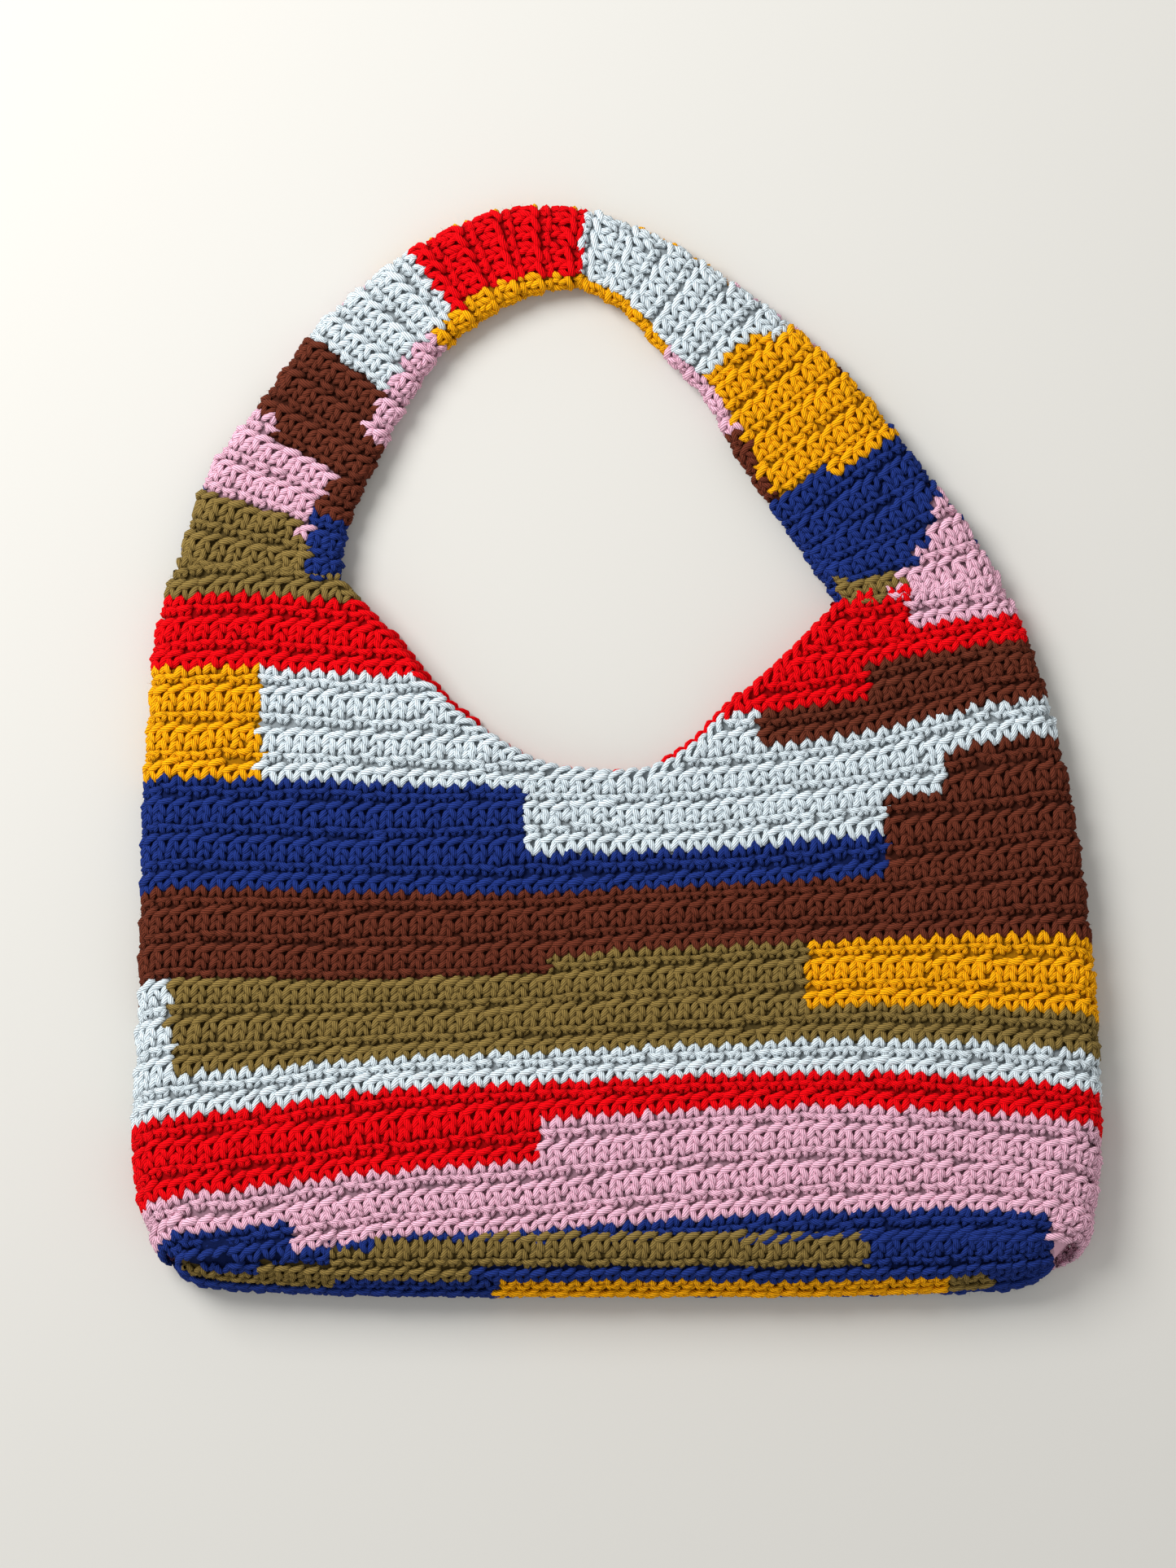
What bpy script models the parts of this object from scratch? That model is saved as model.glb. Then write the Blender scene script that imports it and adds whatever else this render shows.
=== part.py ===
"""A crochet shoulder bag lying flat on its back: a hollow pouch, its base panel and a two-part tube strap.

The front faces +Z, the strap points to +Y, and the back rests on z = 0. Lengths are in metres.
Inside the functions y = 0 is the middle of the bottom seam. The whole bag is centred at the end.
"""

import math

import bmesh
import bpy
import numpy as np

# Driving dimensions
BODY_WIDTH = 0.408
BODY_LENGTH = 0.286  # bottom seam to the left corner of the mouth
BODY_THICKNESS = 0.020  # front face to back face at mid height
MOUTH_THICKNESS = 0.0175  # the same at the mouth and at the strap roots
BASE_HEIGHT = 0.032  # the same at the bottom seam
BASE_LEAN = 0.020  # how far the seam's back edge reaches past its front edge
BASE_SWELL = 0.0205  # how strongly the base panel bows outwards
MOUTH_DEPTH = 0.076  # mouth corners down to the lowest point of the mouth's edge
STRAP_RISE = 0.137  # left strap root up to the seam at the top
STRAP_ROOT_WIDTH = 0.068
STRAP_TOP_WIDTH = 0.032
STRAP_THICKNESS = 0.0130
FABRIC = 0.0042  # wall of crocheted fabric
GAP = 0.0003  # between two pieces that touch

# Shares of the sizes above
RIGHT_CORNER_SHARE = 0.964  # the right corner of the mouth, of BODY_LENGTH
LEFT_ROOT_ANGLE = math.radians(7)  # how the strap roots climb towards the side folds
RIGHT_ROOT_ANGLE = math.radians(9)
TOP_SEAM_SHARE = -0.036  # of BODY_WIDTH, from the middle of the body
TOP_SEAM_ANGLE = math.radians(5)

# Steps of the meshes
FOLD_STEPS = 4  # quarter of a body side fold
STRAP_FOLD_STEPS = 4
STRAP_FACE_STEPS = 3
SHOULDER_STEPS = 4
MOUTH_STEPS = 18
BODY_ROWS = 20
STRAP_ROWS = 24
BASE_ROWS = 8

# Outline and thickness, row by row up the body.
# rise is of BODY_LENGTH, left and right of half BODY_WIDTH. swell goes from BODY_THICKNESS towards
# BASE_HEIGHT, and pinch towards MOUTH_THICKNESS.
BODY_COLUMNS = ("rise", "left", "right", "swell", "pinch")
BODY_SECTIONS = (
    (0.000, 0.920, 0.905, 1.00, 0.0),
    (0.021, 0.940, 0.953, 0.97, 0.0),
    (0.050, 0.960, 0.976, 0.91, 0.0),
    (0.091, 0.984, 0.986, 0.80, 0.0),
    (0.150, 1.000, 0.997, 0.63, 0.0),
    (0.334, 0.994, 0.997, 0.22, 0.0),
    (0.528, 0.989, 0.975, 0.05, 0.2),
    (0.723, 0.982, 0.930, 0.00, 0.8),
    (0.820, 0.970, 0.897, 0.00, 1.0),
    (0.917, 0.960, 0.850, 0.00, 1.0),
    (0.966, 0.943, 0.822, 0.00, 1.0),
    (1.015, 0.917, 0.777, 0.00, 1.0),
    (1.060, 0.895, 0.740, 0.00, 1.0),
)

# Edge of the mouth from its left to its right corner. across is of the distance between the
# corners, drop of MOUTH_DEPTH.
MOUTH_COLUMNS = ("across", "drop")
MOUTH_EDGE = (
    (0.00, 0.000),
    (0.10, 0.290),
    (0.21, 0.655),
    (0.30, 0.825),
    (0.40, 0.970),
    (0.51, 1.000),
    (0.62, 0.975),
    (0.70, 0.860),
    (0.78, 0.615),
    (0.88, 0.350),
    (1.00, 0.000),
)

# Soft hollows and swellings of the front face. across is of the row's width, rise of BODY_LENGTH,
# reach of each of those, and depth of BODY_THICKNESS.
DENT_COLUMNS = ("across", "rise", "reach_across", "reach_rise", "depth")
DENTS = (
    (0.50, 0.64, 0.22, 0.12, -0.14),
    (0.24, 0.46, 0.15, 0.12, 0.11),
    (0.74, 0.40, 0.14, 0.13, -0.10),
    (0.34, 0.17, 0.20, 0.07, 0.08),
    (0.80, 0.17, 0.12, 0.08, 0.07),
    (0.84, 0.82, 0.07, 0.10, -0.12),
    (0.13, 0.84, 0.06, 0.09, -0.10),
)

# Cross lines of the strap from its root to the top seam. across and rise are shares of the way
# from the root's middle to the seam's middle, turn is how far the cross line has turned from the
# root's direction to the seam's, narrow goes from STRAP_ROOT_WIDTH to STRAP_TOP_WIDTH, and thin
# from MOUTH_THICKNESS to STRAP_THICKNESS.
STRAP_COLUMNS = ("across", "rise", "turn", "narrow", "thin")
LEFT_STRAP = (
    (0.000, 0.000, 0.000, 0.00, 0.0),
    (0.060, 0.226, 0.160, 0.16, 0.5),
    (0.173, 0.408, 0.262, 0.36, 0.8),
    (0.303, 0.618, 0.340, 0.50, 1.0),
    (0.490, 0.820, 0.470, 0.72, 1.0),
    (0.656, 0.930, 0.630, 0.78, 1.0),
    (0.815, 0.990, 0.830, 0.85, 1.0),
    (1.000, 1.000, 1.000, 1.00, 1.0),
)
RIGHT_STRAP = (
    (0.000, 0.000, 0.000, 0.00, 0.0),
    (0.063, 0.104, 0.115, 0.05, 0.3),
    (0.160, 0.229, 0.290, 0.17, 0.6),
    (0.270, 0.375, 0.335, 0.20, 0.8),
    (0.413, 0.560, 0.360, 0.35, 1.0),
    (0.485, 0.648, 0.385, 0.53, 1.0),
    (0.650, 0.788, 0.490, 0.72, 1.0),
    (0.820, 0.922, 0.660, 0.93, 1.0),
    (1.000, 1.000, 1.000, 1.00, 1.0),
)


def along(table, columns, name, at):
    """The value of one column of a table on a smooth curve through its rows."""
    keys = np.array([row[0] for row in table])
    values = np.array([row[columns.index(name)] for row in table])
    slopes = np.gradient(values, keys)
    i = int(np.clip(np.searchsorted(keys, at) - 1, 0, len(keys) - 2))
    step = keys[i + 1] - keys[i]
    u = (at - keys[i]) / step
    u = min(max(u, 0.0), 1.0)
    return (
        values[i] * (1 + 2 * u) * (1 - u) ** 2
        + values[i + 1] * (3 - 2 * u) * u**2
        + step * slopes[i] * u * (1 - u) ** 2
        - step * slopes[i + 1] * (1 - u) * u**2
    )


def mix(start, end, share):
    return start + (end - start) * share


def fold_edge(side, rise):
    """x of the left or right side fold at this rise."""
    name, sign = ("left", -1) if side == "left" else ("right", 1)
    return sign * BODY_WIDTH / 2 * along(BODY_SECTIONS, BODY_COLUMNS, name, rise)


def body_thickness(rise):
    swell = along(BODY_SECTIONS, BODY_COLUMNS, "swell", rise)
    pinch = along(BODY_SECTIONS, BODY_COLUMNS, "pinch", rise)
    thickness = mix(BODY_THICKNESS, BASE_HEIGHT, swell)
    return mix(thickness, MOUTH_THICKNESS, pinch)


def strap_root(side):
    """The straight line where a strap meets the body: its ends at the side fold and at the mouth."""
    slope = LEFT_ROOT_ANGLE if side == "left" else RIGHT_ROOT_ANGLE
    inner_y = BODY_LENGTH * (1 if side == "left" else RIGHT_CORNER_SHARE)
    outer_y = inner_y + STRAP_ROOT_WIDTH * math.sin(slope)
    outer_x = fold_edge(side, outer_y / BODY_LENGTH)
    inward = math.cos(slope) * (1 if side == "left" else -1)
    outer = np.array([outer_x, outer_y])
    inner = np.array([outer_x + STRAP_ROOT_WIDTH * inward, inner_y])
    return outer, inner


def mouth_point(across):
    """A point of the mouth's edge, seen from above."""
    left = strap_root("left")[1]
    right = strap_root("right")[1]
    x, y = mix(left, right, across)
    return np.array([x, y - MOUTH_DEPTH * along(MOUTH_EDGE, MOUTH_COLUMNS, "drop", across)])


def front_relief(across, rise):
    """Height that the hollows and swellings add to the front face."""
    total = 0.0
    for dent in DENTS:
        row = dict(zip(DENT_COLUMNS, dent))
        far_across = (across - row["across"]) / row["reach_across"]
        far_rise = (rise - row["rise"]) / row["reach_rise"]
        total += row["depth"] * math.exp(-(far_across**2) - far_rise**2)
    return BODY_THICKNESS * total


def front_stations():
    """Places across the front from the left fold to the right fold: (part, share, fold angle).

    The part is a side fold, a shoulder or the mouth. The share runs through that part from left
    to right, and the fold angle is 0 at the outermost line of the fold and a quarter turn on
    the face.
    """
    quarter = math.pi / 2
    folds = [quarter * i / FOLD_STEPS for i in range(FOLD_STEPS)]
    shoulder = [i / SHOULDER_STEPS for i in range(SHOULDER_STEPS)]
    mouth = [i / MOUTH_STEPS for i in range(MOUTH_STEPS + 1)]
    stations = [("left fold", 0, angle) for angle in folds]
    stations += [("left shoulder", share, quarter) for share in shoulder]
    stations += [("mouth", share, quarter) for share in mouth]
    stations += [("right shoulder", 1 - share, quarter) for share in reversed(shoulder)]
    stations += [("right fold", 0, angle) for angle in reversed(folds)]
    return stations


def top_point(station, inset):
    """Where a station meets the top edge of the body, seen from above."""
    part, share, angle = station
    if part == "mouth":
        return mouth_point(share)
    outer, inner = strap_root(part.split()[0])
    half = MOUTH_THICKNESS / 2 - inset
    if "fold" in part:
        distance = inset + half * (1 - math.cos(angle))
    else:
        from_fold = share if part.startswith("left") else 1 - share
        distance = mix(inset + half, STRAP_ROOT_WIDTH, from_fold)
    return mix(outer, inner, distance / STRAP_ROOT_WIDTH)


def row_x(station, rise, inset):
    """x of a station on the row at this rise, before the row follows the top edge."""
    part, share, angle = station
    half = body_thickness(rise) / 2 - inset
    left = fold_edge("left", rise) + inset
    right = fold_edge("right", rise) - inset
    if part == "left fold":
        return left + half * (1 - math.cos(angle))
    if part == "right fold":
        return right - half * (1 - math.cos(angle))
    corners = [strap_root(side)[1][0] / (BODY_WIDTH / 2) for side in ("left", "right")]
    middle = (left + right) / 2
    left_corner = middle + corners[0] * (right - left) / 2
    right_corner = middle + corners[1] * (right - left) / 2
    if part == "left shoulder":
        return mix(left + half, left_corner, share)
    if part == "right shoulder":
        return mix(right_corner, right - half, share)
    return mix(left_corner, right_corner, share)


def body_point(station, face, climb, inset):
    """A point of the body's outer surface, or of the surface a wall's thickness further in.

    face is 1 on the front and -1 on the back, and climb goes from 0 at the seam to 1 at the top.
    """
    top_x, top_y = top_point(station, inset)
    rise = climb * top_y / BODY_LENGTH
    lift = face * math.sin(station[2])
    full = body_thickness(rise) / 2
    half = full - inset
    bottom_y = BASE_LEAN / 2 * lift * half / full
    x = row_x(station, rise, inset)
    x += (top_x - row_x(station, top_y / BODY_LENGTH, inset)) * climb**4
    z = full + lift * half
    if face > 0:
        left, right = fold_edge("left", rise), fold_edge("right", rise)
        fade = 1 - (2 * climb - 1) ** 8
        z += lift * fade * front_relief((x - left) / (right - left), rise)
    return (x, mix(bottom_y, top_y, climb), z)


def loop_stations():
    """Stations right round the body, with the face each lies on."""
    front = front_stations()
    back = [station for station in reversed(front) if station[2] > 0]
    return [(station, 1) for station in front] + [(station, -1) for station in back]


def body_grid(inset):
    climbs = [i / BODY_ROWS for i in range(BODY_ROWS + 1)]
    loop = loop_stations()
    return np.array([[body_point(station, face, climb, inset) for station, face in loop] for climb in climbs])


def strap_ring(centre, inward, width, thickness, inset):
    """A flattened ring across the strap. It starts at the outer fold and runs over the front."""
    half = thickness / 2 - inset
    reach = width / 2 - inset
    quarter = math.pi / 2
    fold = [quarter * i / STRAP_FOLD_STEPS for i in range(STRAP_FOLD_STEPS + 1)]
    upper = [(half * (1 - math.cos(angle)) - reach, math.sin(angle)) for angle in fold]
    flat = reach - half
    upper += [(flat * (2 * i / STRAP_FACE_STEPS - 1), 1) for i in range(1, STRAP_FACE_STEPS)]
    upper += [(-x, lift) for x, lift in reversed(upper[: STRAP_FOLD_STEPS + 1])]
    lower = [(x, -lift) for x, lift in reversed(upper[1:-1])]
    ring = []
    for x, lift in upper + lower:
        place = centre + inward * x
        ring.append((place[0], place[1], thickness / 2 + lift * half))
    return ring


def strap_grid(side, inset):
    """Rings of a strap half from its root to the seam at the top."""
    table = LEFT_STRAP if side == "left" else RIGHT_STRAP
    hand = 1 if side == "left" else -1
    slope = LEFT_ROOT_ANGLE if side == "left" else RIGHT_ROOT_ANGLE
    outer, inner = strap_root(side)
    root = (outer + inner) / 2
    top = np.array([TOP_SEAM_SHARE * BODY_WIDTH, root_height() + STRAP_RISE])
    seam_turn = math.pi / 2 + hand * TOP_SEAM_ANGLE
    rings = []
    for i in range(STRAP_ROWS + 1):
        at = i / STRAP_ROWS
        place = {name: path_value(table, name, at) for name in STRAP_COLUMNS}
        turn = mix(slope, seam_turn, place["turn"])
        inward = np.array([hand * math.cos(turn), -math.sin(turn)])
        upward = np.array([hand * math.sin(turn), math.cos(turn)])
        centre = mix(root, top, np.array([place["across"], place["rise"]]))
        if i == 0:
            centre = centre + upward * GAP
        if i == STRAP_ROWS:
            centre = centre - upward * GAP / 2
        width = mix(STRAP_ROOT_WIDTH, STRAP_TOP_WIDTH, place["narrow"])
        thickness = mix(MOUTH_THICKNESS, STRAP_THICKNESS, place["thin"])
        rings.append(strap_ring(centre, inward, width, thickness, inset))
    return np.array(rings)


def root_height():
    """y of the middle of the left strap root."""
    return sum(end[1] for end in strap_root("left")) / 2


def path_value(table, name, at):
    """A column of a strap's table where at is a share of the way along its centre line."""
    places = np.array([row[:2] for row in table])
    steps = np.linalg.norm(np.diff(places, axis=0), axis=1)
    keys = np.concatenate([[0], np.cumsum(steps)]) / steps.sum()
    column = STRAP_COLUMNS.index(name)
    rows = [(key, row[column]) for key, row in zip(keys, table)]
    return along(rows, ("way", name), name, at)


def base_grid(inset):
    """The base panel from the seam's front edge over its bow to the back edge, station by station."""
    chord = np.array([0, BASE_LEAN, BASE_HEIGHT])
    outward = np.array([0, -chord[2], chord[1]]) / np.linalg.norm(chord)
    bow = BASE_SWELL - inset * 4 / 3
    columns = []
    for station in front_stations():
        front, back = (np.array(body_point(station, face, 0, inset)) for face in (1, -1))
        share = (front[0] - fold_edge("left", 0)) / (fold_edge("right", 0) - fold_edge("left", 0))
        full_chord = np.linalg.norm(chord) * (1 - inset / (BASE_HEIGHT / 2))
        reach = np.linalg.norm(front - back) / full_chord * (1 - 0.4 * (2 * share - 1) ** 4)
        front_pull = front + reach * np.array([0, -bow * 1.15, bow * 0.05])
        back_pull = back + reach * np.array([0, -bow * 0.85, 0])
        column = []
        for i in range(BASE_ROWS + 1):
            t = i / BASE_ROWS
            point = front * (1 - t) ** 3 + back * t**3
            point = point + 3 * front_pull * t * (1 - t) ** 2 + 3 * back_pull * t**2 * (1 - t)
            column.append(point + outward * GAP)
        columns.append(column)
    return np.array(columns)


def add_object(name, points, faces, colour, roughness, parent):
    """A closed mesh object with its own material, smooth over its folds and sharp at its rims."""
    mesh = bpy.data.meshes.new(name)
    mesh.from_pydata([tuple(point) for point in points], [], faces)
    shaper = bmesh.new()
    shaper.from_mesh(mesh)
    bmesh.ops.recalc_face_normals(shaper, faces=shaper.faces)
    shaper.to_mesh(mesh)
    shaper.free()
    mesh.shade_smooth()
    mesh.set_sharp_from_angle(angle=math.radians(40))
    material = bpy.data.materials.new(name + "_yarn")
    material.use_nodes = True
    surface = material.node_tree.nodes["Principled BSDF"]
    surface.inputs["Base Color"].default_value = (*colour, 1)
    surface.inputs["Roughness"].default_value = roughness
    surface.inputs["Metallic"].default_value = 0
    mesh.materials.append(material)
    thing = bpy.data.objects.new(name, mesh)
    bpy.context.scene.collection.objects.link(thing)
    thing.parent = parent
    return thing


def tube_faces(rows, around):
    """Faces of a tube with a wall: outer skin, inner skin and the rims that join them at both ends."""
    inner = rows * around
    faces = []
    for row in range(rows - 1):
        for i in range(around):
            a, b = row * around + i, row * around + (i + 1) % around
            faces.append((a, b, b + around, a + around))
            faces.append((inner + a, inner + a + around, inner + b + around, inner + b))
    for row in (0, rows - 1):
        for i in range(around):
            a, b = row * around + i, row * around + (i + 1) % around
            faces.append((a, inner + a, inner + b, b))
    return faces


def add_tube(name, outer, inner, colour, roughness, parent):
    rows, around = outer.shape[:2]
    points = np.concatenate([outer.reshape(-1, 3), inner.reshape(-1, 3)])
    return add_object(name, points, tube_faces(rows, around), colour, roughness, parent)


def add_shell(name, outer, inner, colour, roughness, parent):
    """A bowed panel with a wall. Its first and last columns are single points, where it ends."""
    points, skins = [], []
    for grid in (outer, inner):
        index = np.zeros(grid.shape[:2], dtype=int)
        for i, column in enumerate(grid):
            single = i in (0, len(grid) - 1)
            for j, point in enumerate(column):
                if not single or j == 0:
                    points.append(point)
                index[i, j] = len(points) - 1
        skins.append(index)
    faces = []
    for index in skins:
        for i in range(index.shape[0] - 1):
            for j in range(index.shape[1] - 1):
                corners = (index[i, j], index[i + 1, j], index[i + 1, j + 1], index[i, j + 1])
                faces.append(tuple(int(k) for k in dict.fromkeys(corners)))
    edge = [list(index[:, 0]) + list(index[-2:0:-1, -1]) for index in skins]
    for k in range(len(edge[0])):
        after = (k + 1) % len(edge[0])
        faces.append(tuple(int(n) for n in (edge[0][k], edge[1][k], edge[1][after], edge[0][after])))
    return add_object(name, points, faces, colour, roughness, parent)


def clear_scene():
    for thing in list(bpy.data.objects):
        bpy.data.objects.remove(thing, do_unlink=True)


def main():
    clear_scene()
    tubes = {
        "body": (body_grid(0), body_grid(FABRIC)),
        "strap_left": (strap_grid("left", 0), strap_grid("left", FABRIC)),
        "strap_right": (strap_grid("right", 0), strap_grid("right", FABRIC)),
    }
    base = (base_grid(0), base_grid(FABRIC))
    everything = np.concatenate([grid[0].reshape(-1, 3) for grid in (*tubes.values(), base)])
    middle = (everything.min(axis=0) + everything.max(axis=0)) / 2
    bag = bpy.data.objects.new("bag", None)
    bag.location = (-middle[0], -middle[1], 0)
    bpy.context.scene.collection.objects.link(bag)
    add_tube("body", *tubes["body"], (0.60, 0.71, 0.77), 0.9, bag)
    add_tube("strap_left", *tubes["strap_left"], (0.80, 0.01, 0.01), 0.9, bag)
    add_tube("strap_right", *tubes["strap_right"], (1.00, 0.37, 0.01), 0.9, bag)
    add_shell("base", *base, (0.015, 0.03, 0.16), 0.9, bag)


main()
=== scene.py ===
import math

import bmesh
import bpy
import numpy as np
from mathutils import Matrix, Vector
from mathutils.bvhtree import BVHTree
from mathutils.kdtree import KDTree


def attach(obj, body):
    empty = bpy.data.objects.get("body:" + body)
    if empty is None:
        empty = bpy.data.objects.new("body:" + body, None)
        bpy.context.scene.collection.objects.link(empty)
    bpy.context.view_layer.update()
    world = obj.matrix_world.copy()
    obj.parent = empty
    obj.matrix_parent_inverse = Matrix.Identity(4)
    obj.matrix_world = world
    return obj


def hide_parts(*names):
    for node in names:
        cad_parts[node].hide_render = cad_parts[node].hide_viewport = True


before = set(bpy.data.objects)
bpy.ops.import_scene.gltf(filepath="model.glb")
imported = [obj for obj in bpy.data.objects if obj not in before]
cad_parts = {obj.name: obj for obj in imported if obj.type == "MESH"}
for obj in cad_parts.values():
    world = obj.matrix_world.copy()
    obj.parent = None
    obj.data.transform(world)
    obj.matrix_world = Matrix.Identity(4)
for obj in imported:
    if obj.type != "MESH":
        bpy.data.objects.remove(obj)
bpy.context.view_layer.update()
bpy.ops.object.select_all(action="DESELECT")
randomSeed = 11
rng = np.random.default_rng(randomSeed)
mm = 0.001
nodeNames = ("body", "base", "strap_left", "strap_right")


# Colours of the yarns, as they look in even light
yarnHex = dict(
    light_blue="#E2EEF4",
    navy="#20357E",
    red="#F20410",
    orange="#FFB00C",
    brown="#6A3222",
    olive="#8A733E",
    pink="#F3BDD2",
)


def linearColour(text, dim=1.0):
    # sRGB hex as linear light
    values = [int(text[i : i + 2], 16) / 255 for i in (1, 3, 5)]
    return tuple(dim * (v / 12.92 if v <= 0.04045 else ((v + 0.055) / 1.055) ** 2.4) for v in values)


def smoothTable(keys, values, at):
    # a smooth curve through the rows of a table
    keys, values, at = (np.asarray(a, float) for a in (keys, values, at))
    slopes = np.gradient(values, keys)
    i = np.clip(np.searchsorted(keys, at) - 1, 0, len(keys) - 2)
    step = keys[i + 1] - keys[i]
    u = np.clip((at - keys[i]) / step, 0, 1)
    low = values[i] * (1 + 2 * u) * (1 - u) ** 2 + step * slopes[i] * u * (1 - u) ** 2
    high = values[i + 1] * (3 - 2 * u) * u**2 - step * slopes[i + 1] * (1 - u) * u**2
    return low + high


# Solids of the frame as ray targets
solids = {}
for name in nodeNames:
    solid = bpy.data.objects[name]
    corners = [solid.matrix_world @ vertex.co for vertex in solid.data.vertices]
    solids[name] = BVHTree.FromPolygons(corners, [tuple(face.vertices) for face in solid.data.polygons])


aboveBag, besideBag = 0.2, 0.3


def topOf(names, x, y, missing):
    # height at which a ray from above meets the first of the named solids that it meets at all
    for name in names:
        hit = solids[name].ray_cast(Vector((x, y, aboveBag)), Vector((0, 0, -1)))[0]
        if hit is not None:
            return hit.z
    return missing


def unit(vectors):
    return vectors / np.maximum(np.linalg.norm(vectors, axis=-1, keepdims=True), 1e-12)


def evenly(points, count):
    # the same path with points evenly spaced along it
    way = np.concatenate([[0], np.cumsum(np.linalg.norm(np.diff(points[:, :3], axis=0), axis=1))])
    at = np.linspace(0, way[-1], count)
    return np.stack([np.interp(at, way, column) for column in points.T], axis=1)


class Surface:
    # A grid of points on the bag. Rows of stitches count upwards, share runs round or along a row.
    overrun = 0.5

    def __init__(self, rows, points, closed):
        self.rows, self.points, self.closed = rows, points, closed
        if closed:
            acrossStep = np.roll(points, -1, axis=1) - np.roll(points, 1, axis=1)
        else:
            acrossStep = np.gradient(points, axis=1)
        self.normals = unit(np.cross(acrossStep, np.gradient(points, axis=0)))

    def rowLength(self, row):
        j = int(np.argmin(abs(self.rows - row)))
        ring = self.points[j]
        if self.closed:
            ring = np.concatenate([ring, ring[:1]])
        return np.linalg.norm(np.diff(ring, axis=0), axis=1).sum()

    def sample(self, share, row):
        count = self.points.shape[1]
        at = (share % 1.0) * count if self.closed else np.clip(share, 0, 1) * (count - 1)
        i = np.floor(at).astype(int)
        if not self.closed:
            i = np.minimum(i, count - 2)
        s = (at - i)[..., None]
        nextI = (i + 1) % count
        i = i % count
        level = (row - self.rows[0]) / (self.rows[1] - self.rows[0])
        j = np.clip(np.floor(level).astype(int), 0, len(self.rows) - 2)
        t = np.clip(level - j, -self.overrun, 1 + self.overrun)[..., None]
        found = []
        for grid in (self.points, self.normals):
            low = grid[j, i] * (1 - s) + grid[j, nextI] * s
            high = grid[j + 1, i] * (1 - s) + grid[j + 1, nextI] * s
            found.append(low + (high - low) * t)
        return found[0], unit(found[1])


# Rows of the body from the bottom up: their y in mm at eight places across. Thickness is given as pairs of y
# and depth in mm. The bottom's y, its lean and the length over which the lean fades are in m.
bodyRows = dict(
    x=(-197.5, -166.2, -96.6, -33.9, 16.5, 98.3, 171.4, 199.2),
    y=(
        (-211.6, -209.8, -199.4, -196.3, -192.1, -187.9, -189.0, -192.4),
        (-197.7, -195.9, -186.2, -182.0, -176.8, -173.3, -176.1, -179.6),
        (-182.0, -178.9, -171.9, -167.0, -161.8, -158.3, -163.2, -166.3),
        (-166.3, -162.9, -153.1, -148.9, -146.2, -144.8, -148.2, -151.0),
        (-149.6, -146.2, -137.5, -135.0, -132.9, -130.8, -134.3, -137.1),
        (-131.5, -129.5, -125.3, -122.8, -120.4, -116.9, -118.7, -121.1),
        (-114.8, -113.4, -111.7, -108.9, -106.5, -102.7, -103.7, -105.1),
        (-98.8, -98.1, -98.5, -95.7, -92.9, -88.4, -89.1, -89.8),
        (-83.5, -82.8, -84.6, -82.1, -79.0, -75.9, -71.7, -70.6),
        (-68.6, -67.9, -69.6, -67.9, -65.4, -61.9, -56.0, -54.3),
        (-53.2, -52.9, -55.0, -55.7, -53.6, -49.4, -41.1, -37.6),
        (-37.2, -37.2, -39.7, -37.6, -36.9, -30.2, -26.1, -21.9),
        (-21.6, -21.9, -24.4, -23.0, -23.7, -16.7, -7.7, -4.5),
        (-6.3, -6.3, -9.0, -11.5, -10.1, -2.8, 11.8, 14.6),
        (9.4, 9.4, 5.9, 3.5, 4.9, 11.8, 26.8, 29.2),
        (25.8, 25.8, 22.3, 18.8, 18.8, 25.8, 39.7, 42.5),
        (39.7, 40.4, 36.9, 34.1, 34.1, 40.4, 50.1, 51.5),
        (54.6, 55.0, 51.5, 48.0, 48.0, 53.6, 61.9, 63.3),
        (69.6, 71.7, 66.8, 62.0, 62.0, 67.5, 75.9, 78.0),
    ),
    thickness=((-213.6, 32.0), (-199.3, 30.9), (-187.6, 29.6), (-170.7, 27.6), (-118.1, 22.6),
               (-62.6, 20.0), (-6.8, 18.0), (20.9, 17.5), (95.0, 17.5)),
    bottom=-0.2136,
    length=0.286,
    lean=0.010,
)
denseX = np.linspace(-0.206, 0.206, 207)
rowLines = mm * np.array([smoothTable(bodyRows["x"], line, denseX / mm) for line in bodyRows["y"]])


def rowHeight(x, row):
    column = (np.clip(x, denseX[0], denseX[-1]) - denseX[0]) / (denseX[1] - denseX[0])
    i = np.clip(column.astype(int), 0, len(denseX) - 2)
    s = column - i
    level = np.asarray(row, float) - 1
    j = np.clip(np.floor(level).astype(int), 0, len(rowLines) - 2)
    low = rowLines[j, i] * (1 - s) + rowLines[j, i + 1] * s
    high = rowLines[j + 1, i] * (1 - s) + rowLines[j + 1, i + 1] * s
    return low + (high - low) * (level - j)


def bodyHalf(y):
    ys, depths = zip(*bodyRows["thickness"])
    return np.interp(y, mm * np.array(ys), mm * np.array(depths)) / 2


folds = dict(lowest=-0.2125, highest=0.072, count=90, nearest=0.14)


def foldEdges():
    # x of the left and of the right side fold at each y
    ys = np.linspace(folds["lowest"], folds["highest"], folds["count"])
    found = []
    for sign in (-1, 1):
        side = []
        for y in ys:
            start = Vector((sign * besideBag, y, float(bodyHalf(y))))
            hit = solids["body"].ray_cast(start, Vector((-sign, 0, 0)))[0]
            side.append(np.nan if hit is None or hit.x * sign < folds["nearest"] else hit.x)
        side = np.array(side)
        known = ~np.isnan(side)
        found.append(np.interp(ys, ys[known], side[known]))
    return ys, found[0], found[1]


foldY, foldLeft, foldRight = foldEdges()


edgeSearch = dict(low=-0.05, high=0.10, missing=0.03, halvings=14)


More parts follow.
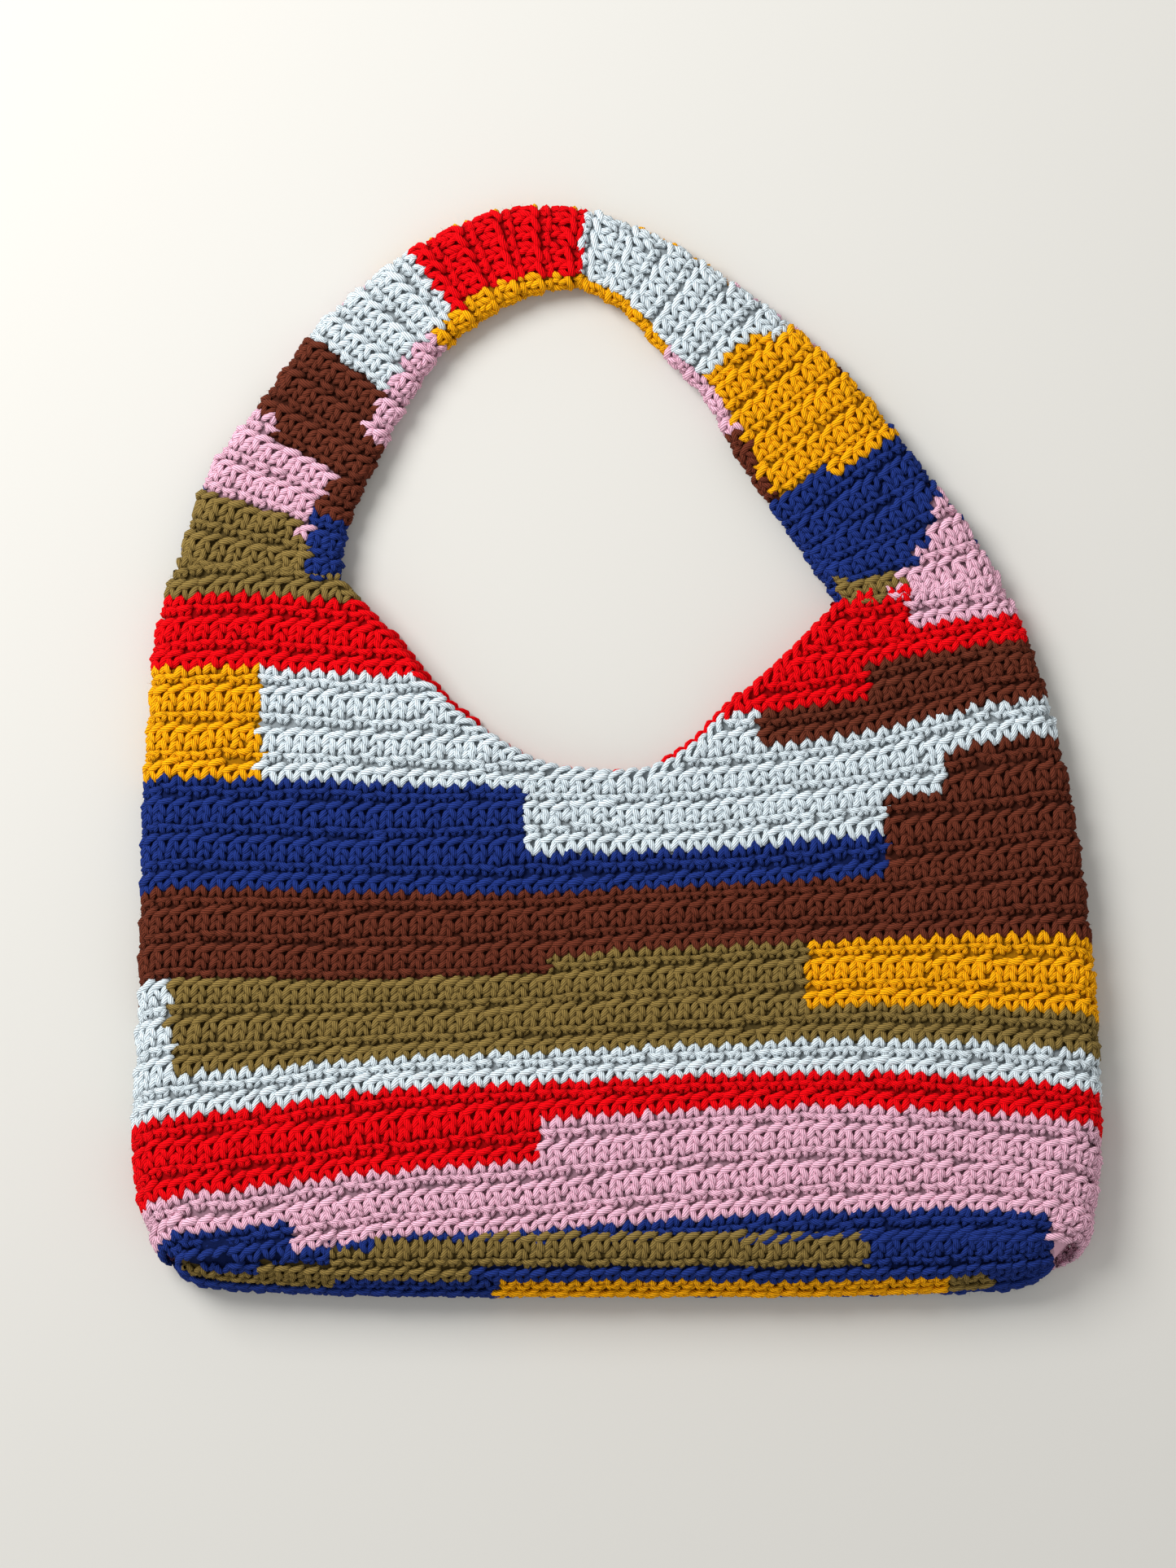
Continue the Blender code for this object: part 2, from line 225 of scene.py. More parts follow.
def topEdge():
    # highest place of the fabric at each x: the mouth's edge, or the root of a strap
    tops = []
    for x in denseX:
        low, high = edgeSearch["low"], edgeSearch["high"]
        if topOf(("body",), x, low, None) is None:
            tops.append(edgeSearch["missing"])
            continue
        for _ in range(edgeSearch["halvings"]):
            middle = (low + high) / 2
            if topOf(("body",), x, middle, None) is None:
                high = middle
            else:
                low = middle
        tops.append(low)
    return np.array(tops)


topY = topEdge()
mouthCorners = (-0.1176, 0.0936)
bodyGrid = dict(
    endX=0.2,
    foldSteps=7,
    faceSteps=130,
    wallPoints=181,
    flatLift=0.999,
    rayStep=0.0007,
    lowestTop=0.006,
)


def bodyRing(row):
    # a row round the body: across the front wall from the left fold, and back along the back wall
    ends = [float(rowHeight(np.array(x), row)) for x in (-bodyGrid["endX"], bodyGrid["endX"])]
    left = np.interp(ends[0], foldY, foldLeft)
    right = np.interp(ends[1], foldY, foldRight)
    halves = [float(bodyHalf(y)) for y in ends]
    angles = np.linspace(0, math.pi / 2, bodyGrid["foldSteps"])[:-1]
    face = np.linspace(left + halves[0], right - halves[1], bodyGrid["faceSteps"])
    curl = 1 - np.cos(angles)
    x = np.concatenate([left + halves[0] * curl, face, (right - halves[1] * curl)[::-1]])
    lift = np.concatenate([np.sin(angles), np.ones(len(face)), np.sin(angles)[::-1]])
    ring = []
    for sign in (1, -1):
        if sign > 0:
            y = rowHeight(x, row)
        else:
            y = np.interp(x, (left, right), ends)
        climb = np.clip((y - bodyRows["bottom"]) / bodyRows["length"], 0, 1)
        y = y - bodyRows["lean"] * (1 - climb) * (1 - sign * lift)
        half = bodyHalf(y)
        path = evenly(np.stack([x, y, half * (1 + sign * lift), lift], axis=1), bodyGrid["wallPoints"])
        if sign > 0:
            for point in path:
                if point[3] > bodyGrid["flatLift"]:
                    # three rays, so that not all of them fall through the open seam at the bottom
                    places = [point[1] + step * bodyGrid["rayStep"] for step in (-1, 0, 1)]
                    found = max(topOf(("body", "base"), point[0], place, 0) for place in places)
                    point[2] = found if found > bodyGrid["lowestTop"] else point[2]
        ring.append(path[:-1, :3] if sign > 0 else path[::-1][:-1, :3])
    return np.concatenate(ring)


# Quarter rows, from under the seam with the base to above the shoulders
levels = np.arange(-1.75, 21.01, 0.25)
bodySurface = Surface(levels, np.array([bodyRing(level) for level in levels]), True)
print("body surface", bodySurface.points.shape)


# Cross lines of the two strap halves from the shoulder to the seam at the top. Each has its x and y in mm, its
# turn in degrees, and the strap's width and depth in mm.
strapPaths = dict(
    strap_left=(
        (-151.9, 76.5, 7.0, 68.0, 17.5),
        (-143.7, 107.5, 21.1, 62.2, 15.3),
        (-128.2, 132.4, 30.1, 55.0, 13.9),
        (-110.3, 161.2, 36.9, 50.0, 13.0),
        (-84.7, 188.8, 48.4, 42.1, 13.0),
        (-61.9, 203.9, 62.4, 39.9, 13.0),
        (-40.1, 212.1, 80.0, 37.4, 13.0),
        (-14.7, 213.5, 95.0, 32.0, 13.0),
    ),
    strap_right=(
        (127.6, 67.4, 9.0, 68.0, 17.5),
        (118.6, 82.6, 17.7, 66.2, 16.2),
        (104.8, 100.9, 31.0, 61.9, 14.8),
        (89.2, 122.2, 34.5, 60.8, 13.9),
        (68.8, 149.2, 36.4, 55.4, 13.0),
        (58.6, 162.1, 38.3, 48.9, 13.0),
        (35.1, 182.5, 46.2, 42.1, 13.0),
        (10.9, 202.1, 59.2, 34.5, 13.0),
        (-14.7, 213.5, 85.0, 32.0, 13.0),
    ),
)
strapRows = 15.0
firstStrapRow = 0.35
strapGrid = dict(overrun=0.04, steps=100, foldSteps=7, faceSteps=25, wallPoints=61, endShare=0.01)


def onSolid(name, points, normals, outset=0.0008, reach=0.004):
    # the same points moved on to the solid's outer skin, where it is near
    moved = points.copy()
    for index in np.ndindex(points.shape[:2]):
        start = Vector(points[index] + normals[index] * outset)
        hit = solids[name].find_nearest(start, reach)[0]
        if hit is not None:
            moved[index] = hit
    return moved


def strapSurface(name):
    table = np.array(strapPaths[name])
    steps = np.linalg.norm(np.diff(table[:, :2], axis=0), axis=1)
    keys = np.concatenate([[0], np.cumsum(steps)]) / steps.sum()
    hand = 1 if name == "strap_left" else -1
    shares = np.linspace(-strapGrid["overrun"], 1 + strapGrid["overrun"], strapGrid["steps"])
    rings = []
    for share in shares:
        x, y, turn, width, depth = (float(smoothTable(keys, table[:, i], share)) for i in range(5))
        turn = math.radians(turn)
        right = np.array([math.cos(turn), -hand * math.sin(turn)])
        upward = np.array([hand * math.sin(turn), math.cos(turn)])
        beyond = share - min(max(share, 0), 1)
        centre = np.array([x, y]) * mm + upward * beyond * steps.sum() * mm
        half = depth * mm / 2
        reach = width * mm / 2
        angles = np.linspace(0, math.pi / 2, strapGrid["foldSteps"])[:-1]
        flat = np.linspace(-reach + half, reach - half, strapGrid["faceSteps"])
        fold = half * (1 - np.cos(angles)) - reach
        across = np.concatenate([fold, flat, -fold[::-1]])
        lift = np.concatenate([np.sin(angles), np.ones(len(flat)), np.sin(angles)[::-1]])
        ring = []
        for sign in (1, -1):
            place = centre + right * across[:, None]
            path = evenly(np.column_stack([place, half * (1 + sign * lift)]), strapGrid["wallPoints"])
            ring.append(path[:-1] if sign > 0 else path[::-1][:-1])
        rings.append(np.concatenate(ring))
    draft = Surface(shares * strapRows + firstStrapRow, np.array(rings), True)
    inside = (shares > strapGrid["endShare"]) & (shares < 1 - strapGrid["endShare"])
    draft.points[inside] = onSolid(name, draft.points[inside], draft.normals[inside])
    return Surface(draft.rows, draft.points, True)


baseRows = 4.0
baseGrid = dict(inset=0.0006, steps=160, startShare=-0.06, endShare=1.04, rings=56, edgeRow=0.03)
# How far the base bows out from its front and from its back edge, and how much less at its two ends
baseBow = dict(front=(0, -0.0236, 0.001), back=(0, -0.0174, 0), taper=0.4)


def baseSurface():
    # from the seam's front edge over the bow to its back edge, row numbers falling
    lean = bodyRows["lean"]
    left = np.interp(bodyRows["bottom"], foldY, foldLeft)
    right = np.interp(bodyRows["bottom"], foldY, foldRight)
    half = float(bodyHalf(bodyRows["bottom"]))
    xs = np.linspace(left + baseGrid["inset"], right - baseGrid["inset"], baseGrid["steps"])
    t = np.linspace(baseGrid["startShare"], baseGrid["endShare"], baseGrid["rings"])
    points = np.zeros((len(t), len(xs), 3))
    for i, x in enumerate(xs):
        near = min(x - left, right - x)
        lift = 1.0 if near >= half else math.sqrt(max(1 - (1 - near / half) ** 2, 0.0))
        front = np.array([x, bodyRows["bottom"] + lean * lift, half * (1 + lift)])
        back = np.array([x, bodyRows["bottom"] - lean * lift, half * (1 - lift)])
        share = (x - left) / (right - left)
        reach = lift * (1 - baseBow["taper"] * (2 * share - 1) ** 4)
        frontPull = front + reach * np.array(baseBow["front"])
        backPull = back + reach * np.array(baseBow["back"])
        u = t[:, None]
        points[:, i] = (
            front * (1 - u) ** 3
            + 3 * frontPull * u * (1 - u) ** 2
            + 3 * backPull * u**2 * (1 - u)
            + back * u**3
        )
    rows = -t * baseRows
    draft = Surface(rows[::-1].copy(), points[::-1].copy(), False)
    inside = (draft.rows < -baseGrid["edgeRow"]) & (draft.rows > -baseRows + baseGrid["edgeRow"])
    draft.points[inside] = onSolid("base", draft.points[inside], draft.normals[inside])
    return Surface(draft.rows, draft.points, False)


surfaces = dict(
    body=bodySurface,
    base=baseSurface(),
    strap_left=strapSurface("strap_left"),
    strap_right=strapSurface("strap_right"),
)
print("all surfaces")


# Colour charts, listed row by row. A row's entry lists colours from the left with the x in mm where each ends.
# Half rows face the other way and lie above the row of that number. A missing row repeats the one below it.
far = 999
frontChart = {
    -1: (("navy", 182), ("pink", far)),
    0: (("navy", 182), ("pink", far)),
    1: (("navy", -137), ("pink", far)),
    2: (("pink", far),),
    3: (("red", -32), ("pink", far)),
    4: (("red", far),),
    5: (("light_blue", far),),
    6: (("light_blue", -188), ("olive", far)),
    7: (("light_blue", -188), ("olive", 80), ("orange", far)),
    8: (("light_blue", -188), ("olive", 80), ("orange", far)),
    8.5: (("brown", -30), ("olive", 80), ("orange", far)),
    9: (("brown", far),),
    10: (("brown", far),),
    11: (("navy", 114), ("brown", far)),
    12: (("navy", -39), ("light_blue", 113), ("brown", far)),
    13: (("navy", -39), ("light_blue", 138), ("brown", far)),
    14: (("orange", -151), ("light_blue", far)),
    15: (("orange", -151), ("light_blue", 60), ("brown", far)),
    16: (("orange", -151), ("light_blue", 0), ("red", 105), ("brown", far)),
    17: (("red", far),),
    18: (("red", 124), ("pink", far)),
    19: (("olive", 0), ("red", 124), ("pink", far)),
}
backChart = {
    -1: (("navy", 176), ("pink", far)),
    0: (("navy", 176), ("pink", far)),
    1: (("navy", -120), ("red", 180), ("pink", far)),
    2: (("pink", -100), ("red", 172), ("pink", far)),
    3: (("red", 60), ("pink", far)),
    4: (("red", far),),
    5: (("light_blue", far),),
    6: (("light_blue", -60), ("olive", far)),
    7: (("light_blue", -90), ("olive", 40), ("orange", far)),
    8: (("brown", -40), ("orange", far)),
    9: (("brown", far),),
    10: (("brown", far),),
    11: (("navy", 20), ("brown", far)),
    12: (("navy", 20), ("brown", far)),
    13: (("navy", -20), ("light_blue", 90), ("brown", far)),
    14: (("orange", -120), ("red", 90), ("light_blue", far)),
    15: (("orange", -120), ("red", 100), ("brown", far)),
    16: (("orange", -120), ("red", 110), ("brown", far)),
    17: (("red", far),),
    18: (("red", 124), ("pink", far)),
    19: (("olive", 0), ("pink", far)),
}
baseChart = {
    0: (("navy", -100), ("olive", 105), ("navy", far)),
    -0.5: (("navy", -120), ("olive", 105), ("navy", far)),
    -1: (("navy", -150), ("olive", -60), ("navy", far)),
    -1.5: (("olive", -120), ("navy", -50), ("orange", 140), ("olive", 158), ("navy", far)),
    -2: (("navy", -50), ("orange", 140), ("olive", 158), ("navy", far)),
    -2.5: (("navy", -50), ("orange", 140), ("navy", far)),
    -3: (("navy", far),),
    -3.5: (("navy", far),),
    -4: (("navy", far),),
}
# Blocks of the straps: colour and the share of the way at which it ends, at the outer and at the inner side.
# Along the seam the front gives way to the underside: share of the way up, share of the width.
strapCharts = dict(
    strap_left=dict(
        front=(
            ("olive", 0.13, 0.10),
            ("pink", 0.29, 0.235),
            ("brown", 0.475, 0.475),
            ("light_blue", 0.69, 0.70),
            ("red", far, far),
        ),
        under=(("navy", 0.19, 0.17), ("brown", 0.35, 0.36), ("pink", 0.62, 0.63), ("orange", far, far)),
        seam=((0, 0.77), (0.15, 0.74), (0.35, 0.78), (0.6, 0.74), (0.8, 0.72), (1, 0.80)),
    ),
    strap_right=dict(
        front=(
            ("pink", 0.19, -0.08),
            ("olive", 0.0, 0.09),
            ("navy", 0.30, 0.32),
            ("orange", 0.60, 0.64),
            ("light_blue", far, far),
        ),
        under=(("navy", 0.32, 0.32), ("brown", 0.48, 0.48), ("pink", 0.72, 0.72), ("orange", far, far)),
        seam=((0, 0.90), (0.35, 0.88), (0.5, 0.84), (0.7, 0.86), (1, 0.80)),
    ),
)


def charted(chart, key, x):
    row = max((charted for charted in chart if charted <= key), default=min(chart))
    return next(colour for colour, end in chart[row] if x < end * mm)


def colourAt(node, key, place, share):
    # yarn colour of a row's number (whole or half) at a place on a surface
    if node == "base":
        return charted(baseChart, key, place[0])
    if node == "body":
        return charted(frontChart if share < 0.5 else backChart, key, place[0])
    charts = strapCharts[node]
    way = (key - firstStrapRow) / strapRows
    acrossShare = 2 * share if node == "strap_left" else 1 - 2 * share
    seam = np.interp(way, *zip(*charts["seam"]))
    side = "front" if 0 <= acrossShare <= seam else "under"
    inward = min(max(acrossShare, 0), 1)
    return next(colour for colour, outer, inner in charts[side] if way < outer + (inner - outer) * inward)


# One single crochet stitch and the turned row below it as bent strands. Each point has the share of a stitch
# to the right, the share of a row pair down, and the height in mm. The radius is in mm too.
stitch = (
    dict(
        turned=False,
        radius=1.56,
        path=(
            (-0.12, 0.095, -1.3),
            (0.10, 0.06, 0.0),
            (0.45, 0.0, 0.5),
            (0.80, -0.055, 0.15),
            (1.04, -0.09, -1.2),
        ),
    ),
    dict(
        turned=False,
        radius=1.42,
        path=((0.14, 0.04, -0.6), (0.24, 0.16, 0.0), (0.38, 0.28, -0.05), (0.50, 0.38, -1.1)),
    ),
    dict(
        turned=False,
        radius=1.42,
        path=((0.98, 0.02, -0.7), (0.90, 0.14, -0.1), (0.76, 0.27, -0.1), (0.65, 0.38, -1.1)),
    ),
    dict(
        turned=True,
        radius=1.36,
        path=((-0.36, 0.58, -1.3), (-0.24, 0.49, -0.35), (-0.08, 0.37, -0.25), (0.05, 0.28, -1.0)),
    ),
    dict(
        turned=True,
        radius=1.36,
        path=((0.03, 0.28, -1.0), (0.13, 0.36, -0.35), (0.24, 0.48, -0.45), (0.32, 0.60, -1.5)),
    ),
    dict(
        turned=True,
        radius=1.36,
        path=((-0.04, 0.62, -1.2), (0.22, 0.665, -0.25), (0.60, 0.66, -0.2), (0.96, 0.60, -1.2)),
    ),
    dict(turned=True, radius=1.30, path=((0.24, 0.68, -0.9), (0.33, 0.75, -0.45), (0.46, 0.84, -1.5))),
    dict(turned=True, radius=1.30, path=((0.90, 0.65, -0.9), (0.82, 0.74, -0.5), (0.68, 0.84, -1.5))),
)
# Strays are shares of a stitch, of a row or of the radius. A strand starts to lose light deepFrom mm down and
# has lost it deepSpan mm further on.
yarnLook = dict(
    stitchWidth=6.45 * mm,
    fewest=4,
    rowShift=0.3,
    strayPlace=0.05,
    strayRow=0.6,
    strayBend=0.02,
    strayHeight=0.22 * mm,
    strayThickness=0.07,
    thinEnds=0.75,
    openEnd=0.004,
    backSink=1.6 * mm,
    backFacing=-0.35,
    frontSides=5,
    backSides=4,
    floorLift=0.9,
    deepFrom=0.4,
    deepSpan=1.1,
    hairShare=0.35,
    hairOut=0.7,
)
strands = {}


def keepStrand(node, colour, path, normals, radii, sides, depth=None):
    # depth is how much of the light each point of the strand loses between its neighbours
    depth = np.zeros(len(path)) if depth is None else depth
    strands.setdefault((node, colour, len(path), sides), []).append((path, normals, radii, depth))


# On the left the lowest rows of the front dip over the seam, and the base's first row makes room for them
dip = dict(end=-60 * mm, depth=7 * mm, lowestRow=0.5)
# How far the stitches reach past a piece's edges, in m up to the mouth's and in rows below that
edges = dict(
    faceUp=0.6,
    seam=0.0015,
    fold=0.003,
    shoulder=0.0015,
    mouth=-0.0025,
    lastRow=0.05,
    strapStart=0.12,
)


def inBody(place, normal):
    # between the seam with the base and the mouth's edge or a strap's root
    top = np.interp(place[0], denseX, topY)
    isShoulder = not mouthCorners[0] < place[0] < mouthCorners[1]
    seam = bodyRows["bottom"] + bodyRows["lean"] * min(max(normal[2], -1), 1)
    if normal[2] > edges["faceUp"] and place[0] < dip["end"]:
        seam -= dip["depth"]
    slack = edges["seam"] + edges["fold"] * (1 - abs(normal[2]))
    return seam - slack < place[1] < top + edges["shoulder" if isShoulder else "mouth"]


def isKept(node, place, normal, row):
    if node == "body":
        if normal[2] > edges["faceUp"] and place[0] < dip["end"] and row < dip["lowestRow"]:
            return False
        return inBody(place, normal)
    if node == "base":
        if place[0] < dip["end"] and place[1] > rowHeight(np.array(place[0]), dip["lowestRow"]):
            return False
        return -baseRows - edges["lastRow"] < row < edges["lastRow"]
    firstRow = firstStrapRow - edges["strapStart"]
    return firstRow < row < strapRows + firstStrapRow + edges["lastRow"]


# Loose fibres, with their lengths and radii in mm
hair = dict(
    outward=0.5,
    shortest=0.9,
    longest=2.6,
    bend=0.6,
    radii=(0.05, 0.045, 0.02),
    lowest=0.1 * mm,
    sides=3,
)


def layHair(node, colour, start, normal):
    # a single loose fibre that stands up from the yarn and bends over
    lean = unit(rng.normal(0, 1, 3) + normal * hair["outward"])
    length = rng.uniform(hair["shortest"], hair["longest"]) * mm
    bent = unit(lean + rng.normal(0, hair["bend"], 3))
    path = np.array([start, start + lean * length * 0.5, start + (lean + bent) * length * 0.5])
    path[:, 2] = np.maximum(path[:, 2], hair["lowest"])
    side = np.tile(unit(np.cross(lean, rng.normal(0, 1, 3))), (len(path), 1))
    keepStrand(node, colour, path, side, np.array(hair["radii"]) * mm, hair["sides"])


def layStitches(node, rows):
    surface = surfaces[node]
    for row in rows:
        count = max(int(round(surface.rowLength(row) / yarnLook["stitchWidth"])), yarnLook["fewest"])
        shift = rng.uniform(-yarnLook["rowShift"], yarnLook["rowShift"])
        for i in range(count):
            stray = rng.normal(0, yarnLook["strayPlace"], 2)
            for strand in stitch:
                u, v, height = np.array(strand["path"]).T
                bend = rng.normal(0, yarnLook["strayBend"], (2, len(u)))
                share = (i + shift + u + stray[0] + bend[0]) / count
                isPastEnd = not yarnLook["openEnd"] <= share.mean() <= 1 - yarnLook["openEnd"]
                if isPastEnd and not surface.closed:
                    continue
                level = row - v + stray[1] * yarnLook["strayRow"] + bend[1]
                points, normals = surface.sample(share, level)
                middle = points.mean(axis=0)
                normal = normals.mean(axis=0)
                if not isKept(node, middle, normal, level.mean()):
                    continue
                key = row - 0.5 if strand["turned"] else row
                colour = colourAt(node, key, middle, share.mean() % 1.0)
                lift = height * mm + rng.normal(0, yarnLook["strayHeight"])
                lift = lift - yarnLook["backSink"] * np.clip(-normals[:, 2], 0, 1)
                points = points + normals * lift[:, None]
                thickness = 1 + rng.normal(0, yarnLook["strayThickness"])
                radii = np.full(len(u), strand["radius"] * mm * thickness)
                radii[[0, -1]] *= yarnLook["thinEnds"]
                points[:, 2] = np.maximum(points[:, 2], radii * yarnLook["floorLift"])
                depth = np.clip((-height - yarnLook["deepFrom"]) / yarnLook["deepSpan"], 0, 1)
                sides = yarnLook["frontSides" if normal[2] > yarnLook["backFacing"] else "backSides"]
                keepStrand(node, colour, points, normals, radii, sides, depth)
                if rng.random() < yarnLook["hairShare"]:
                    start = points[rng.integers(1, len(u) - 1)] + normal * radii[1] * yarnLook["hairOut"]
                    layHair(node, colour, start, normal)


layStitches("body", range(-1, 21))
layStitches("base", range(0, -5, -1))
layStitches("strap_left", range(0, 17))
layStitches("strap_right", range(0, 17))
print("stitches laid")


# Yarn worked over the edge of the mouth, on the front and on the back wall. The back wall's edge shows a little
# beyond the front one in two places. That slip and the x of the places are in mm.
rim = dict(
    pitch=5.6 * mm,
    radius=1.25 * mm,
    wall=4.2 * mm,
    inset=0.004,
    missingTop=0.0175,
    stray=0.15 * mm,
    slip=1.6,
    slipPlaces=((-97, -58), (20, 52)),
)


def layRim():
    xs = np.linspace(mouthCorners[0], mouthCorners[1], 400)
    ys = np.interp(xs, denseX, topY)
    edge = np.stack([xs, ys, np.zeros(len(xs))], axis=1)
    length = np.linalg.norm(np.diff(edge, axis=0), axis=1).sum()
    count = int(length / rim["pitch"])
    edge = evenly(edge, count * 4 + 1)
    along = unit(np.gradient(edge, axis=0))
    outward = np.stack([-along[:, 1], along[:, 0], along[:, 2]], axis=1)
    rowNumbers = range(1, len(rowLines) + 1)
    for wall in ("front", "back"):
        for i in range(count):
            at = 4 * i + 2
            inner = edge[at] - outward[at] * rim["inset"]
            top = topOf(("body",), inner[0], inner[1], rim["missingTop"]) if wall == "front" else rim["wall"]
            low = top - rim["wall"]
            x = edge[at][0]
            row = np.interp(inner[1], [float(rowHeight(np.array(x), k)) for k in rowNumbers], rowNumbers)
            colour = colourAt("body", round(row), inner, 0.25 if wall == "front" else 0.75)
            # mm along the edge, mm outwards from it, and the height in m
            shape = (
                (-3.6, -3.2, top - 0.0009),
                (-1.8, -1.5, top + 0.0004),
                (0.4, 0.1, top - 0.0004),
                (2.4, 0.3, low + 0.0024),
                (3.6, -1.0, low + 0.0010),
            )
            isSlipped = wall == "back" and any(start < x / mm < end for start, end in rim["slipPlaces"])
            slip = rim["slip"] if isSlipped else 0.0
            path = np.array([
                edge[at] + along[at] * forth * mm + outward[at] * (out + slip) * mm + np.array([0, 0, height])
                for forth, out, height in shape
            ])
            path += rng.normal(0, rim["stray"], path.shape)
            path[:, 2] = np.maximum(path[:, 2], rim["radius"])
            normals = np.tile(outward[at] * 0.6 + np.array([0, 0, 0.8]), (len(path), 1))
            radii = np.full(len(path), rim["radius"])
            keepStrand("body", colour, path, normals, radii, yarnLook["frontSides"])


layRim()
print("rim laid")


def addNode(tree, kind, **values):
    node = tree.nodes.new(kind)
    for name, value in values.items():
        if name in node.inputs:
            node.inputs[name].default_value = value
        else:
            setattr(node, name, value)
    return node


def math2(tree, operation, first, second):
    node = addNode(tree, "ShaderNodeMath", operation=operation)
    for socket, value in zip(node.inputs, (first, second)):
        if isinstance(value, (int, float)):
            socket.default_value = value
        else:
            tree.links.new(value, socket)
    return node.outputs[0]


# Worsted acrylic: fine plies laid together, which show as slanting ridges on every strand, with a matte,
# slightly fuzzy surface. The plies' grooves get painted shade and their ridges a slight painted highlight, and
# deep strands get painted shade. The lay's lengths are in mm, the bumps' heights in m, and each light is the
# least value of a noise and its range.
yarnFinishAndShade = dict(
    plies=7,
    layLength=13.0,
    layStart=10.0,
    ridge=0.00040,
    ridgeRound=0.6,
    ridgeLight=1.06,
    grooveDim=0.50,
    fibre=0.00010,
    fibreScale=1500.0,
    fibreLight=(0.85, 0.30),
    patchScale=90.0,
    patchLight=(0.89, 0.22),
    depthDim=0.6,
    roughness=0.9,
    specular=0.08,
    sheen=0.04,
    sheenRoughness=0.5,
)


def spread(tree, noise, light):
    least, span = light
    return math2(tree, "ADD", math2(tree, "MULTIPLY", noise, span), least)


def yarnMaterial(name):
    material = bpy.data.materials.new(name)
    material.use_nodes = True
    tree = material.node_tree
    surface = tree.nodes["Principled BSDF"]
    surface.inputs["Roughness"].default_value = yarnFinishAndShade["roughness"]
    surface.inputs["Specular IOR Level"].default_value = yarnFinishAndShade["specular"]
    surface.inputs["Sheen Weight"].default_value = yarnFinishAndShade["sheen"]
    surface.inputs["Sheen Roughness"].default_value = yarnFinishAndShade["sheenRoughness"]
    surface.inputs["Sheen Tint"].default_value = (*linearColour(yarnHex[name]), 1)
    # plies as ridges that wind round the strand, with painted shade in the grooves between them and a slight
    # painted highlight on the ridges
    uv = addNode(tree, "ShaderNodeUVMap", uv_map="strand")
    parts = addNode(tree, "ShaderNodeSeparateXYZ")
    tree.links.new(uv.outputs[0], parts.inputs[0])
    along = math2(tree, "MULTIPLY", parts.outputs[0], 1 / yarnFinishAndShade["layLength"])
    turns = math2(tree, "ADD", along, parts.outputs[1])
    phase = math2(tree, "MULTIPLY", turns, math.pi * yarnFinishAndShade["plies"])
    ridge = math2(tree, "ABSOLUTE", math2(tree, "SINE", phase, 0.0), 0.0)
    rounded = math2(tree, "POWER", ridge, yarnFinishAndShade["ridgeRound"])
    # painted shade in the ply grooves and a slight painted highlight on the ridges, as a factor on the yarn
    # colour
    plyShadeAndHighlight = addNode(tree, "ShaderNodeMapRange")
    plyShadeAndHighlight.inputs["To Min"].default_value = yarnFinishAndShade["grooveDim"]
    plyShadeAndHighlight.inputs["To Max"].default_value = yarnFinishAndShade["ridgeLight"]
    tree.links.new(rounded, plyShadeAndHighlight.inputs["Value"])
    # fine fibres, patches of uneven dye, and less light where the strand lies deep
    place = addNode(tree, "ShaderNodeTexCoord")
    fibres = addNode(tree, "ShaderNodeTexNoise", Scale=yarnFinishAndShade["fibreScale"], Detail=2.0, Roughness=0.6)
    tree.links.new(place.outputs["Object"], fibres.inputs["Vector"])
    patches = addNode(tree, "ShaderNodeTexNoise", Scale=yarnFinishAndShade["patchScale"], Detail=2.0)
    tree.links.new(place.outputs["Object"], patches.inputs["Vector"])
    patchLight = spread(tree, patches.outputs["Fac"], yarnFinishAndShade["patchLight"])
    fibreLight = spread(tree, fibres.outputs["Fac"], yarnFinishAndShade["fibreLight"])
    deep = addNode(tree, "ShaderNodeAttribute", attribute_name="depth")
    lost = math2(tree, "MULTIPLY", deep.outputs["Fac"], yarnFinishAndShade["depthDim"])
    dim = math2(tree, "MULTIPLY", plyShadeAndHighlight.outputs[0], patchLight)
    dim = math2(tree, "MULTIPLY", dim, fibreLight)
    dim = math2(tree, "MULTIPLY", dim, math2(tree, "SUBTRACT", 1.0, lost))
    tint = addNode(tree, "ShaderNodeVectorMath", operation="SCALE")
    tint.inputs[0].default_value = linearColour(yarnHex[name])
    tree.links.new(dim, tint.inputs["Scale"])
    tree.links.new(tint.outputs[0], surface.inputs["Base Color"])
    ridgeBump = addNode(tree, "ShaderNodeBump", Strength=1.0, Distance=yarnFinishAndShade["ridge"])
    tree.links.new(rounded, ridgeBump.inputs["Height"])
    fibreBump = addNode(tree, "ShaderNodeBump", Strength=1.0, Distance=yarnFinishAndShade["fibre"])
    tree.links.new(fibres.outputs["Fac"], fibreBump.inputs["Height"])
    tree.links.new(ridgeBump.outputs[0], fibreBump.inputs["Normal"])
    tree.links.new(fibreBump.outputs[0], surface.inputs["Normal"])
    return material


materials = {name: yarnMaterial(name) for name in yarnHex}


